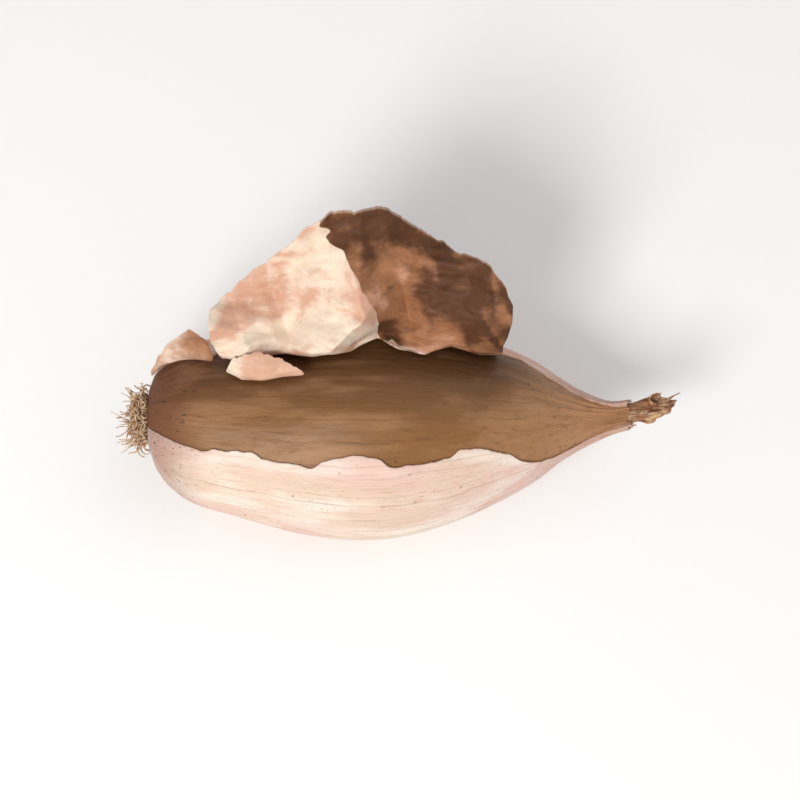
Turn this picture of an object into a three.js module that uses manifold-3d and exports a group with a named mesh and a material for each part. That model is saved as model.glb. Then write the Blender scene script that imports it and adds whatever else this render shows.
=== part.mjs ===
// A pink shallot, whole and dry, lying on its side on a small flat spot.
// The root end points along -X and the neck along +X. Its dry skin has split along the top and curls back.
// Millimetres, +Z up. The origin is on the flat spot, under the widest part of the bulb.
import * as THREE from "three";
import { mergeVertices } from "three/addons/utils/BufferGeometryUtils.js";
import Module from "manifold-3d";

const wasm = await Module();
wasm.setup();

// Driving dimensions
const SKIN_LENGTH = 69; // from the root end's rim to the end of the neck's skin
const BELLY_RADIUS = 15.3; // largest radius, seen from above
const FLATTENING = 0.945; // height over width
const BELLY_AT = 29; // distance of the widest part from the root end's rim
const FLAT_DEPTH = 0.8; // how much of the belly the flat spot takes away
const BOW = 1.1; // how far the ends lie to the side of the belly
const END_RISE = 0.8; // how far the ends lie above the belly
const NECK_SIDEWAYS = 0.9; // how far the neck's tip bends to the side, and up
const NECK_RISE = 1.3;
const GAP = 0.3; // clearance between neighbouring pieces
const SKIN_THICKNESS = 0.65; // of the dry skin that has come away

// Outline of the bulb as [share of SKIN_LENGTH, share of BELLY_RADIUS], from the root end's rim to the neck
const OUTLINE = [
  [0, 0.31],
  [0.014, 0.46],
  [0.043, 0.61],
  [0.09, 0.735],
  [0.186, 0.835],
  [0.3, 0.945],
  [0.414, 1],
  [0.514, 0.975],
  [0.614, 0.873],
  [0.7, 0.733],
  [0.779, 0.56],
  [0.836, 0.385],
  [0.886, 0.25],
  [0.943, 0.19],
  [1, 0.172],
];
const OUTLINE_STEPS = 44;
const ROOM = 200; // a block of space that holds the whole shallot
const AROUND = 54; // sides of the bulb's section

// Where forms begin and end, as distances from the root end's rim
const ROOT_END = [0, 9];
const SHOULDER = [50, 64];
const NECK_START = [54, 66];

// Waves round the bulb: how many, height as a share of the radius, angle, and twist for each millimetre
const SIDES = [
  [2, 0.014, -0.6, 0],
  [3, 0.013, 1.1, 0],
  [8, 0.005, -0.9, 0],
  [13, 0.009, 0, 0.03],
];
const NECK_FOLDS = [[5, 0.1, -8.1, 0.14]];
const PUCKERS = [[7, 0.03, 0.5, 0]];
const FLAT_SIDE = { angle: -0.75, depth: 0.06 };
const FURROW = { depth: 0.03, width: 0.17 }; // along the middle of the flat side

// Root end
const PLATE_RADIUS = 3.6;
const PLATE_RECESS = 1.5; // depth of the hollow that the root plate sits in
const PLATE_DOME = 1.1; // how far the plate stands out in front of the rim
const RIM_BULGE = 0.15; // how far the rim is rounded towards the roots
const ROOT_COUNT = 34;
const ROOT_RADIUS = 0.46;
const ROOT_TAPER = 0.7; // tip over base
const ROOT_DEPTH = 1.3; // how deep in the plate a root begins
const ROOT_SPREAD = 0.86; // share of the plate's radius that the roots grow on
const ROOT_LENGTHS = [2.88, 4.8];
const ROOT_SWERVE = [-1.2, 1.2]; // how far they turn aside, in radians
const ROOT_CURL = [0.7, 1.7];
const GOLDEN_ANGLE = 2.39996; // spreads the roots evenly over the plate

// A root's way from the plate, as [share of its length out, share sideways, share of its curl]
const ROOT_PATH = [
  [0.25, 0.1, 0],
  [0.55, 0.3, 0.5],
  [0.62, 0.48, 1],
  [0.42, 0.55, 1.5],
];

// Neck
const NECK_FROM = 58; // where the bulb's shoulder ends
const NECK_FLATTENING = 0.82;
const NECK_WALL = 0.75;
const NECK_HOLLOW = 4.5; // depth of the open end of the neck's skin
const SHEATH_COUNT = 5; // dry leaf bases that stick out of the neck
const SHEATH_LENGTHS = [6, 10.2];
const SHEATH_ROOT = 3.6; // how far down the neck they begin
const SHEATH_SPAN = 2.1; // the angle of the neck that each one wraps, in radians
const SHEATH_TAPER = 0.45; // how much narrower each one is at its end
const SHEATH_TWIST = [0.3, 1]; // in radians, as are the next two
const SHEATH_CURL = [0.25, 1.4];
const SHEATH_LEAN = -0.12;
const SHEATH_START = 0.75; // share of the room inside the neck at which they begin

// The end of the rolled core between the sheaths, as [share of its radius, distance beyond the neck's skin]
const CORE_END = [
  [1, -0.4],
  [0.9, 1.2],
  [0.5, 1.6],
  [0, 0.6],
];

const NECK_RADIUS = OUTLINE.at(-1)[1] * BELLY_RADIUS;
const SHEATH_RADIUS = NECK_RADIUS - NECK_WALL - GAP; // the room inside the neck's open end

// Torn sheets of dry skin
const SHEET_CLEARANCE = GAP / FLATTENING + 0.2; // between the bulb and the sheets that hug it
const FACET = 7.5; // size of the flat facets between creases
const FREE_FROM = 4.5; // how far from its fold a sheet is wholly free to crumple
const KINK_FADE = 6; // how far from a fold its kinks fade into the straight line of its hinge
const MARCH = 0.8; // length of the short straight pieces that a sheet's bend is made of
const LATTICE_SKEW = (Math.sqrt(3) - 1) / 2; // makes a square lattice's triangles nearly even
const SCATTER = [127.1, 311.7, 43758.5453]; // turns whole numbers into scattered heights

const SKIN_COLOUR = 0xc08a68;
const SKIN_INSIDE_COLOUR = 0xe6c8b4;
const ROOT_COLOUR = 0xb09070;
const SHEATH_COLOUR = 0x9a6f4e;

const { lerp, mapLinear, clamp, smoothstep } = THREE.MathUtils;
const smooth = (from, to, x) => smoothstep(x, from, to);
const drawn = ([low, high], random) => lerp(low, high, random());

// A repeatable stream of numbers from 0 to 1
function seeded(seed) {
  let state = seed;
  return () => {
    state = (state * 16807) % 2147483647;
    return state / 2147483647;
  };
}

// The line through the bulb's middle, at a distance along it: [sideways, up]
function middle(along) {
  const arch = Math.sin((Math.PI * clamp(along, 0, NECK_FROM)) / NECK_FROM);
  const neck = Math.max(0, along - NECK_FROM) / (SKIN_LENGTH - NECK_FROM);
  const sideways = BOW * (1 - arch) + NECK_SIDEWAYS * neck * neck;
  const belly = BELLY_RADIUS * FLATTENING - FLAT_DEPTH;
  return [sideways, belly + END_RISE * (1 - arch) + NECK_RISE * neck * neck];
}

function wave(waves, along, angle) {
  return waves.reduce(
    (sum, [count, height, turn, twist]) => sum + height * Math.cos(count * angle + turn + twist * along),
    0,
  );
}

// How far the section departs from a circle: a few broad sides, a flatter one with a shallow furrow,
// fine ridges, and the folds at the neck and the root end
function section(along, angle) {
  const body = smooth(...ROOT_END, along) * (1 - smooth(...SHOULDER, along));
  const turned = angle - FLAT_SIDE.angle;
  const flatter = FLAT_SIDE.depth * Math.max(0, Math.cos(turned)) ** 4;
  const furrow = FURROW.depth * Math.exp(-((turned / FURROW.width) ** 2));
  const folds = wave(NECK_FOLDS, along, angle) * smooth(...NECK_START, along);
  const puckers = wave(PUCKERS, along, angle) * (1 - smooth(...ROOT_END, along));
  return 1 + body * (wave(SIDES, along, angle) - flatter - furrow) + folds + puckers;
}

// The point at a distance along the bulb, a radius and an angle: angle 0 is +Y and a quarter turn is up
function place(along, radius, angle) {
  const [sideways, up] = middle(along);
  const shaped = radius * section(along, angle);
  const height = lerp(FLATTENING, NECK_FLATTENING, smooth(...NECK_START, along));
  return new THREE.Vector3(
    along - BELLY_AT,
    sideways + shaped * Math.cos(angle),
    up + shaped * height * Math.sin(angle),
  );
}

const outlineCurve = new THREE.SplineCurve(
  OUTLINE.map(([along, radius]) => new THREE.Vector2(radius * BELLY_RADIUS, along * SKIN_LENGTH)),
);

// The bulb's radius before its section is shaped, at a distance along it
function radiusAt(along) {
  const points = outlineCurve.getPoints(4 * OUTLINE_STEPS);
  const next = points.findIndex((p) => p.y >= along);
  if (next < 1) return points[next < 0 ? points.length - 1 : 0].x;
  const [a, b] = [points[next - 1], points[next]];
  return mapLinear(along, a.y, b.y, a.x, b.x);
}

// A closed solid from a geometry, with its doubled vertices joined and its empty triangles dropped
function solid(geometry) {
  const bare = geometry.clone();
  bare.deleteAttribute("normal");
  bare.deleteAttribute("uv");
  const merged = mergeVertices(bare, 1e-4);
  const kept = [];
  const index = merged.index.array;
  for (let i = 0; i < index.length; i += 3) {
    const [a, b, c] = [index[i], index[i + 1], index[i + 2]];
    if (a !== b && b !== c && c !== a) kept.push(a, b, c);
  }
  const vertProperties = new Float32Array(merged.attributes.position.array);
  return new wasm.Manifold(
    new wasm.Mesh({ numProp: 3, vertProperties, triVerts: new Uint32Array(kept) }),
  );
}

function geometryOf(manifold) {
  const { vertProperties, triVerts } = manifold.getMesh();
  const geometry = new THREE.BufferGeometry();
  geometry.setAttribute("position", new THREE.BufferAttribute(new Float32Array(vertProperties), 3));
  geometry.setIndex(new THREE.BufferAttribute(new Uint32Array(triVerts), 1));
  geometry.computeVertexNormals();
  return geometry;
}

// Solids fused into one body, with any pocket sealed between them filled
function joined(solids) {
  const bodies = solids.reduce((whole, piece) => whole.add(piece)).decompose();
  return bodies.reduce((largest, body) => (body.volume() > largest.volume() ? body : largest));
}

// A turned shape whose profile gives [radius, distance along], bent and shaped as the bulb is
function turned(profile, sides) {
  const points = profile.map(([radius, along]) => new THREE.Vector2(radius, along));
  const geometry = new THREE.LatheGeometry(points, sides);
  return shaped(geometry, (x, y, z) => place(y, Math.hypot(x, z), Math.atan2(x, z)));
}

// A geometry with each vertex moved by a rule
function shaped(geometry, rule) {
  const position = geometry.attributes.position;
  for (let i = 0; i < position.count; i++) {
    const p = rule(position.getX(i), position.getY(i), position.getZ(i));
    position.setXYZ(i, p.x, p.y, p.z);
  }
  return geometry;
}

// A tapered strand with few sides along a curve
function strand(curve, baseRadius, tipRadius, sides, steps) {
  const frames = curve.computeFrenetFrames(steps, false);
  const geometry = new THREE.CylinderGeometry(tipRadius, baseRadius, steps, sides, steps);
  return shaped(geometry, (x, y, z) => {
    const step = Math.round(y + steps / 2);
    const across = frames.binormals[step].clone().multiplyScalar(x);
    const other = frames.normals[step].clone().multiplyScalar(z);
    return curve.getPointAt(step / steps).add(across).add(other);
  });
}

function bulb() {
  const skin = outlineCurve.getPoints(OUTLINE_STEPS).map((p) => [p.x, p.y]);
  const rim = skin[0][0];
  const hollowEnd = SKIN_LENGTH - NECK_HOLLOW;
  const profile = [
    [0, PLATE_RECESS],
    [PLATE_RADIUS + GAP, PLATE_RECESS],
    [PLATE_RADIUS + GAP, PLATE_RECESS / 2],
    [(rim + PLATE_RADIUS + GAP) / 2, -RIM_BULGE],
    ...skin,
    [NECK_RADIUS - NECK_WALL, SKIN_LENGTH],
    [NECK_RADIUS - NECK_WALL, hollowEnd],
    [0, hollowEnd],
  ];
  const above = new THREE.BoxGeometry(ROOM, ROOM, ROOM).translate(0, 0, ROOM / 2);
  return solid(turned(profile, AROUND)).intersect(solid(above));
}

// One short dry root, from a point in the plate out, over and round
function root(share, random) {
  const angle = share * ROOT_COUNT * GOLDEN_ANGLE;
  const outwards = ROOT_SPREAD * PLATE_RADIUS * Math.sqrt(share);
  const length = drawn(ROOT_LENGTHS, random);
  const swerved = angle + drawn(ROOT_SWERVE, random);
  const side = random() < 0.5 ? -1 : 1;
  const curl = side * drawn(ROOT_CURL, random);
  const at = (out, aside, curled) =>
    place(0, 0, 0).add(
      new THREE.Vector3(
        -PLATE_DOME - out,
        outwards * Math.cos(angle) + aside * Math.cos(swerved + curled),
        outwards * Math.sin(angle) + aside * Math.sin(swerved + curled),
      ),
    );
  const way = ROOT_PATH.map(([out, aside, curled]) => at(out * length, aside * length, curled * curl));
  const curve = new THREE.CatmullRomCurve3([at(-ROOT_DEPTH, 0, 0), ...way]);
  return solid(strand(curve, ROOT_RADIUS, ROOT_RADIUS * ROOT_TAPER, 3, 5));
}

function rootTuft() {
  const random = seeded(11);
  const floor = PLATE_RECESS - GAP;
  const plate = turned(
    [
      [0, -PLATE_DOME],
      [PLATE_RADIUS * 0.6, -PLATE_DOME * 0.8],
      [PLATE_RADIUS * 0.95, -PLATE_DOME * 0.25],
      [PLATE_RADIUS, 0.3],
      [PLATE_RADIUS - GAP, floor],
      [0, floor],
    ],
    20,
  );
  const roots = Array.from({ length: ROOT_COUNT }, (_, i) => root((i + 0.5) / ROOT_COUNT, random));
  return joined([solid(plate), ...roots]);
}

// The middle of a sheath's section at a share of its length, as [along, radius, heading]
function sheathSpine(length, curl, share) {
  const steps = 12;
  const stride = (share * length) / steps;
  let [along, radius, heading] = [SKIN_LENGTH - SHEATH_ROOT, SHEATH_START * SHEATH_RADIUS, 0];
  for (let step = 0; step < steps; step++) {
    heading = SHEATH_LEAN + curl * smooth(0.5, 1, ((step + 0.5) / steps) * share);
    along += Math.cos(heading) * stride;
    radius += Math.sin(heading) * stride;
  }
  return [along, radius, heading];
}

// A dry sheath: a channelled blade that leaves the neck, narrows and curls over at its torn end.
// One in three stays almost straight.
function sheath(order, random) {
  const facing = (order / SHEATH_COUNT) * 2 * Math.PI + 0.4;
  const length = drawn(SHEATH_LENGTHS, random);
  const twist = drawn(SHEATH_TWIST, random);
  const curl = drawn(SHEATH_CURL, random) * (order % 3 === 1 ? 0.1 : 1);
  const geometry = new THREE.BoxGeometry(1, 1, 1, 9, 5, 1);
  return solid(
    shaped(geometry, (x, y, z) => {
      const share = x + 0.5;
      const torn = 1 + 0.08 * smooth(0.7, 1, share) * Math.sin(8 * y + order * 2.1);
      const [along, radius, heading] = sheathSpine(length * torn, curl, share);
      const width = SHEATH_SPAN * SHEATH_RADIUS * (1 - SHEATH_TAPER * share);
      const around = facing + twist * share - (y * width) / Math.max(radius, SHEATH_RADIUS);
      const out = z * SKIN_THICKNESS;
      return place(along - out * Math.sin(heading), radius + out * Math.cos(heading), around);
    }),
  );
}

function dryNeck() {
  const random = seeded(5);
  const from = SKIN_LENGTH - NECK_HOLLOW + GAP;
  const end = CORE_END.map(([share, beyond]) => [share * SHEATH_RADIUS, SKIN_LENGTH + beyond]);
  const core = turned([[0, from], [SHEATH_RADIUS, from], ...end], 20);
  const sheaths = Array.from({ length: SHEATH_COUNT }, (_, i) => sheath(i, random));
  return joined([solid(core), ...sheaths]);
}

// The lines along which the sheets fold, as [share of the sheet's length, angle]
const LARGE_FOLD = [
  [0, 1],
  [0.07, 1.07],
  [0.24, 1.08],
  [0.33, 1.15],
  [0.46, 1.11],
  [0.55, 0.93],
  [0.62, 1.07],
  [0.71, 1.12],
  [0.8, 0.93],
  [0.9, 0.98],
  [1, 0.78],
];
const FLAKE_FOLD = [
  [0, 0.84],
  [0.35, 0.98],
  [1, 1.1],
];
const LIP_FOLD = [
  [0, 1.26],
  [0.2, 1.39],
  [0.45, 1.41],
  [1, 1.36],
];

// How far their torn edges reach beyond the fold, as [share of the length, share of the width]
const LARGE_TEAR = [
  [0, 0.42],
  [0.1, 0.56],
  [0.24, 0.72],
  [0.4, 0.93],
  [0.47, 0.97],
  [0.56, 0.92],
  [0.7, 0.82],
  [0.8, 0.69],
  [0.9, 0.63],
  [0.97, 0.54],
  [1, 0.44],
];
const FLAKE_TEAR = [
  [0, 0.3],
  [0.35, 0.75],
  [0.6, 1],
  [0.8, 0.85],
  [1, 0.35],
];
const LIP_TEAR = [
  [0, 0.3],
  [0.15, 0.8],
  [0.4, 1],
  [0.7, 0.78],
  [0.9, 0.5],
  [1, 0.3],
];

// The value at a share of the way along a list of [share, value]
function valueAt(points, share) {
  const next = Math.max(1, points.findIndex(([at]) => at >= share));
  const [a, b] = [points[next - 1], points[next]];
  return mapLinear(share, a[0], b[0], a[1], b[1]);
}

// Heights from -1 to 1 that run straight between the points of a lattice: flat facets with sharp creases
function facets(x, y) {
  const skew = (x + y) * LATTICE_SKEW;
  const [i, j] = [Math.floor(x + skew), Math.floor(y + skew)];
  const [u, v] = [x + skew - i, y + skew - j];
  const height = (di, dj) => {
    const scattered = Math.sin(SCATTER[0] * (i + di) + SCATTER[1] * (j + dj)) * SCATTER[2];
    return 2 * (scattered - Math.floor(scattered)) - 1;
  };
  const corner = u > v ? height(1, 0) : height(0, 1);
  return height(0, 0) * (1 - Math.max(u, v)) + corner * Math.abs(u - v) + height(1, 1) * Math.min(u, v);
}

// How far a sheet reaches back behind its fold, as a share of its hug: rounded at the ends and lobed
function hugOutline(share) {
  return Math.sin(Math.PI * (0.05 + 0.9 * share)) * (0.75 + 0.25 * Math.sin(9 * share));
}

// A point of a sheet of dry skin that hugs the bulb behind its fold and bends away in front of it:
// share runs from 0 to 1 along the sheet, and level from -1 at its hugging edge to 1 at its torn edge
function sheetPoint(sheet, share, level) {
  const along = lerp(sheet.from, sheet.to, share);
  const angle = valueAt(sheet.fold, share);
  const radius = radiusAt(along) + SHEET_CLEARANCE;
  if (level < 0) {
    return place(along, radius, angle + (level * sheet.hug * hugOutline(share)) / BELLY_RADIUS);
  }
  const hinge = lerp(...sheet.hinge, share);
  const point = place(along, radius, hinge);
  const onwards = place(along, radius, hinge + 0.02).sub(point).normalize();
  const out = new THREE.Vector3(0, onwards.z, -onwards.y);
  const reach = level * sheet.width * valueAt(sheet.tear, share);
  const kink = place(along, radius, angle).sub(point);
  point.addScaledVector(kink, Math.exp(-reach / KINK_FADE));
  const final = sheet.turn + sheet.sway * facets(3.3 * share + 0.7, 2.2);
  const marches = Math.max(1, Math.round(reach / MARCH));
  for (let i = 0; i < marches; i++) {
    const gone = ((i + 0.5) / marches) * reach;
    const turn = final * (1 - Math.exp(-gone / sheet.bend)) + sheet.curl * gone;
    point.addScaledVector(onwards, (Math.cos(turn) * reach) / marches);
    point.addScaledVector(out, (Math.sin(turn) * reach) / marches);
  }
  const crumpled = sheet.crumple * smooth(0, FREE_FROM, reach) * facets(along / FACET, reach / FACET + 3);
  const facing = final + sheet.curl * reach;
  const faceOut = onwards.multiplyScalar(-Math.sin(facing)).addScaledVector(out, Math.cos(facing));
  point.addScaledVector(faceOut, crumpled);
  return point.add(new THREE.Vector3(sheet.fan * reach * (share - 0.5), 0, 0));
}

// The sheet as a solid, SKIN_THICKNESS thick, with steps = [along it, behind its fold, in front of it]
function skinSheet(sheet) {
  const [rows, hugRows, freeRows] = sheet.steps;
  const levelOf = (row) => (row < hugRows ? row / hugRows - 1 : ((row - hugRows) / freeRows) ** 1.4);
  const columns = hugRows + freeRows;
  const step = 1e-3;
  const geometry = new THREE.BoxGeometry(rows, columns, 1, rows, columns, 1);
  return solid(
    shaped(geometry, (x, y, z) => {
      const share = clamp((rows / 2 - x) / rows, step, 1 - step);
      const level = levelOf(Math.round(y + columns / 2));
      const point = sheetPoint(sheet, share, level);
      const side = level > 1 - step ? -step : step;
      const alongEdge = sheetPoint(sheet, share + step, level).sub(sheetPoint(sheet, share - step, level));
      const acrossEdge = sheetPoint(sheet, share, level + side).sub(point).multiplyScalar(Math.sign(side));
      const normal = acrossEdge.cross(alongEdge).normalize();
      return point.addScaledVector(normal, (z + 0.5) * SKIN_THICKNESS);
    }),
  );
}

const PEELED_SKIN = {
  from: 10,
  to: 50,
  fold: LARGE_FOLD,
  hinge: [1.06, 0.94],
  hug: 12,
  width: 23,
  turn: 2.2,
  sway: 0.45,
  bend: 3,
  curl: 0.006,
  crumple: 4.2,
  fan: 0.25,
  tear: LARGE_TEAR,
  steps: [34, 3, 10],
};
const ROOT_SKIN_FLAKE = {
  from: 0.6,
  to: 9.2,
  fold: FLAKE_FOLD,
  hinge: [0.86, 1.1],
  hug: 2.4,
  width: 4.7,
  turn: 2.2,
  sway: 0.2,
  bend: 1.2,
  curl: 0.12,
  crumple: 1,
  fan: 0.5,
  tear: FLAKE_TEAR,
  steps: [12, 2, 5],
};
const SKIN_LIP = {
  from: 11.5,
  to: 22,
  fold: LIP_FOLD,
  hinge: [1.33, 1.38],
  hug: 1,
  width: 5.2,
  turn: 2.1,
  sway: 0.2,
  bend: 1.3,
  curl: 0.08,
  crumple: 1.1,
  fan: 0.3,
  tear: LIP_TEAR,
  steps: [14, 2, 5],
};

function piece(name, manifold, colour, roughness) {
  const material = new THREE.MeshStandardMaterial({ color: colour, roughness, metalness: 0 });
  const mesh = new THREE.Mesh(geometryOf(manifold), material);
  mesh.name = name;
  return mesh;
}

const shallot = new THREE.Group();
shallot.add(
  piece("bulb", bulb(), SKIN_COLOUR, 0.45),
  piece("root_tuft", rootTuft(), ROOT_COLOUR, 0.9),
  piece("dry_neck", dryNeck(), SHEATH_COLOUR, 0.8),
  piece("peeled_skin", skinSheet(PEELED_SKIN), SKIN_INSIDE_COLOUR, 0.6),
  piece("root_skin_flake", skinSheet(ROOT_SKIN_FLAKE), SKIN_INSIDE_COLOUR, 0.6),
  piece("skin_lip", skinSheet(SKIN_LIP), SKIN_INSIDE_COLOUR, 0.6),
);

export default shallot;
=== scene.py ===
# A pink shallot lying on its side: ridged bulb with split papery skin, curly roots and a shrivelled neck.
# Lengths in the shape rules are millimetres, and MM turns them into metres when the vertices are moved.
import bisect
import math
from dataclasses import dataclass

import bmesh
import bpy
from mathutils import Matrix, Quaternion, Vector, noise


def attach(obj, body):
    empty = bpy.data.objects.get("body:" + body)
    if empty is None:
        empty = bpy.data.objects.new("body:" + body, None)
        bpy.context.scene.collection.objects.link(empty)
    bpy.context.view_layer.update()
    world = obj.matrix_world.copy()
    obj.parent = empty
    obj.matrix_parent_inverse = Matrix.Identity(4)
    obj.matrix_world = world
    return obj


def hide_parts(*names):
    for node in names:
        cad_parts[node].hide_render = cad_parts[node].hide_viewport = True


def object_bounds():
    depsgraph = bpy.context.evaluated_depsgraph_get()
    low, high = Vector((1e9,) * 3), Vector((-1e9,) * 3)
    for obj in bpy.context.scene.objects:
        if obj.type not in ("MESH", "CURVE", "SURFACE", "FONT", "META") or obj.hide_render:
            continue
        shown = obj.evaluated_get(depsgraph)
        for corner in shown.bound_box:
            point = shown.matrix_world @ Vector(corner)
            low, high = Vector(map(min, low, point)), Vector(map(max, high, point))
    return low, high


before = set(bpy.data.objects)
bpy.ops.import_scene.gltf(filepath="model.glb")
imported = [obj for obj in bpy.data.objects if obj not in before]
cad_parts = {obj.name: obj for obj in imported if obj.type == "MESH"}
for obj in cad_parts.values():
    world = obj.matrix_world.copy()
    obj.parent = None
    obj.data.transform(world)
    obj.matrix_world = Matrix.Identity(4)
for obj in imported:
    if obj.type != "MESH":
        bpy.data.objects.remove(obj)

cad_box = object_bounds()

MM = 0.001
TAU = 2 * math.pi

# Driving dimensions, as the solids have them
SKIN_LENGTH = 69.0
BELLY_RADIUS = 15.3
FLATTENING = 0.945
BELLY_AT = 29.0
FLAT_DEPTH = 0.8
BOW = 1.1
END_RISE = 0.8
NECK_SIDEWAYS = 0.9
NECK_RISE = 1.3
GAP = 0.3
NECK_FROM = 58.0
NECK_HOLLOW = 4.5
NECK_WALL = 0.75
NECK_FLATTENING = 0.82
PLATE_RADIUS = 3.6
PLATE_RECESS = 1.5
PLATE_DOME = 1.1
OUTLINE = [
    (0, 0.31),
    (0.014, 0.46),
    (0.043, 0.61),
    (0.09, 0.735),
    (0.186, 0.835),
    (0.3, 0.945),
    (0.414, 1),
    (0.514, 0.975),
    (0.614, 0.873),
    (0.7, 0.733),
    (0.779, 0.56),
    (0.836, 0.385),
    (0.886, 0.25),
    (0.943, 0.19),
    (1, 0.172),
]
NECK_RADIUS = OUTLINE[-1][1] * BELLY_RADIUS

# Where forms begin and end, as distances from the root end's rim
ROOT_END = (0, 9)
SHOULDER = (50, 64)
NECK_START = (54, 66)

# Waves round the bulb: how many, height as a share of the radius, angle, and twist for each millimetre
SIDES = [(2, 0.014, -0.6, 0), (3, 0.013, 1.1, 0), (8, 0.005, -0.9, 0), (13, 0.009, 0, 0.03)]
NECK_FOLDS = [(5, 0.1, -8.1, 0.14)]
PUCKERS = [(7, 0.03, 0.5, 0)]
FLAT_ANGLE = -0.75
FLAT_SIDE_DEPTH = 0.06
FURROW_DEPTH = 0.03
FURROW_WIDTH = 0.17

# Fineness of the meshes
BULB_ROWS = 230
BULB_SIDES = 350
BARE_SIDES = 76  # of the bulb's sides, those in the strip where the outer skin is gone

# The strip where the outer skin is gone, and the thickness of what is gone
LAYER = 0.22
LIP_LIFT = 0.42
LIP_WIDTH = 1.5
PAPER = 0.14

# The root tuft and the neck
ROOT_COUNT = 330
ROOT_STEPS = 9
ROOT_LENGTHS = (2.8, 5.4)
ROOT_CURL = (0.45, 1.15)  # radians at each step
ROOT_THICKNESS = (0.1, 0.19)
GOLDEN_ANGLE = 2.39996
SHEATH_COUNT = 5
SHEATH_LENGTHS = (6, 10.2)
SHEATH_ROOT = 3.6
SHEATH_SPAN = 2.1
SHEATH_TAPER = 0.45
SHEATH_TWIST = (0.3, 1)
SHEATH_CURL = (0.25, 1.4)
SHEATH_LEAN = -0.12
SHEATH_START = 0.75
SHEATH_RADIUS = NECK_RADIUS - NECK_WALL - GAP
SHEATH_GRIDS = [(54, 30), (46, 26)]  # of each broad sheath and of the shorter one beside it

# Camera and light
VIEW_ELEVATION = math.radians(70)
LENS_MM = 100
SENSOR_MM = 36
FRAME_WIDTH = 0.112  # metres of the scene that the picture is wide
KEY_PLACE = (-0.2, -0.34, 0.4)
FILL_PLACE = (0.35, 0.1, 0.45)
FLOOR_SIZE = 3


def tone(red, green, blue):
    """A colour given as 0 to 255 in daylight, turned into linear light."""
    parts = [part / 255 for part in (red, green, blue)]
    return (*((part / 12.92 if part <= 0.04045 else ((part + 0.055) / 1.055) ** 2.4) for part in parts), 1)


COPPER = tone(182, 120, 90)
# A darker rose, painted as shade on the bulb's far flank
FAR_SHADE_ROSE = tone(196, 138, 116)
ROSE = tone(222, 188, 176)
TAN = tone(220, 194, 174)
CREAM = tone(238, 226, 214)
BROWN = tone(108, 66, 42)
SOIL = tone(56, 41, 30)
# Dark copper: painted shade on the bare strip near the peeled sheet's fold, and dark streaks
STREAK_AND_SHADE_COPPER = tone(78, 50, 28)
FRESH_COPPER = tone(136, 94, 54)
FRESH_TAN = tone(184, 138, 100)
PALE_INSIDE = tone(234, 214, 194)
PINK_INSIDE = tone(204, 154, 128)
# Aged brown, darkened as painted shade for the darkest panels of the aged skin
AGED_AND_SHADED_BROWN = tone(88, 54, 32)
AGED_TAN = tone(160, 110, 76)
STRAW = tone(222, 190, 156)
DARK_STRAW = tone(164, 128, 98)
DRY_LEAF = tone(146, 98, 66)
DRY_TAN = tone(208, 168, 130)


def clamp(value, low=0.0, high=1.0):
    return max(low, min(high, value))


def smooth(start, end, x):
    t = clamp((x - start) / (end - start))
    return t * t * (3 - 2 * t)


def lerp(a, b, share):
    return a + (b - a) * share


LATTICE_SKEW = (math.sqrt(3) - 1) / 2  # makes a square lattice's triangles nearly even
SCATTER = (127.1, 311.7, 43758.5453)  # turns whole numbers into scattered heights


def facets(x, y):
    """Heights from -1 to 1 that run straight between the points of a lattice: flat facets, sharp creases."""
    skew = (x + y) * LATTICE_SKEW
    i, j = math.floor(x + skew), math.floor(y + skew)
    u, v = x + skew - i, y + skew - j

    def height(di, dj):
        scattered = math.sin(SCATTER[0] * (i + di) + SCATTER[1] * (j + dj)) * SCATTER[2]
        return 2 * (scattered - math.floor(scattered)) - 1

    corner = height(1, 0) if u > v else height(0, 1)
    return height(0, 0) * (1 - max(u, v)) + corner * abs(u - v) + height(1, 1) * min(u, v)


# Shape of the bulb

def spline_point(points, share):
    """A point of the uniform Catmull-Rom curve through the points."""
    at = share * (len(points) - 1)
    first = min(int(at), len(points) - 2)
    t = at - first
    before = points[max(first - 1, 0)]
    after = points[min(first + 2, len(points) - 1)]
    a, b = points[first], points[first + 1]
    return tuple(
        a[k]
        + t * (b[k] - before[k]) / 2
        + t * t * (before[k] - 2.5 * a[k] + 2 * b[k] - after[k] / 2)
        + t * t * t * (1.5 * (a[k] - b[k]) + (after[k] - before[k]) / 2)
        for k in range(2)
    )


def outline(steps):
    """The bulb's outline from the root end to the neck, as (distance along, radius)."""
    points = [spline_point(OUTLINE, i / steps) for i in range(steps + 1)]
    return [(along * SKIN_LENGTH, radius * BELLY_RADIUS) for along, radius in points]


FINE_OUTLINE = outline(400)
FINE_ALONG = [along for along, _ in FINE_OUTLINE]


def radius_at(along):
    after = clamp(bisect.bisect(FINE_ALONG, along), 1, len(FINE_ALONG) - 1)
    (a, low), (b, high) = FINE_OUTLINE[after - 1], FINE_OUTLINE[after]
    return lerp(low, high, clamp((along - a) / (b - a)))


def middle(along):
    """The line through the bulb's middle: (sideways, up)."""
    arch = math.sin(math.pi * clamp(along, 0, NECK_FROM) / NECK_FROM)
    neck = max(0, along - NECK_FROM) / (SKIN_LENGTH - NECK_FROM)
    sideways = BOW * (1 - arch) + NECK_SIDEWAYS * neck * neck
    belly = BELLY_RADIUS * FLATTENING - FLAT_DEPTH
    return sideways, belly + END_RISE * (1 - arch) + NECK_RISE * neck * neck


def wave(waves, along, angle):
    return sum(
        height * math.cos(count * angle + turn + twist * along)
        for count, height, turn, twist in waves
    )


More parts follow.
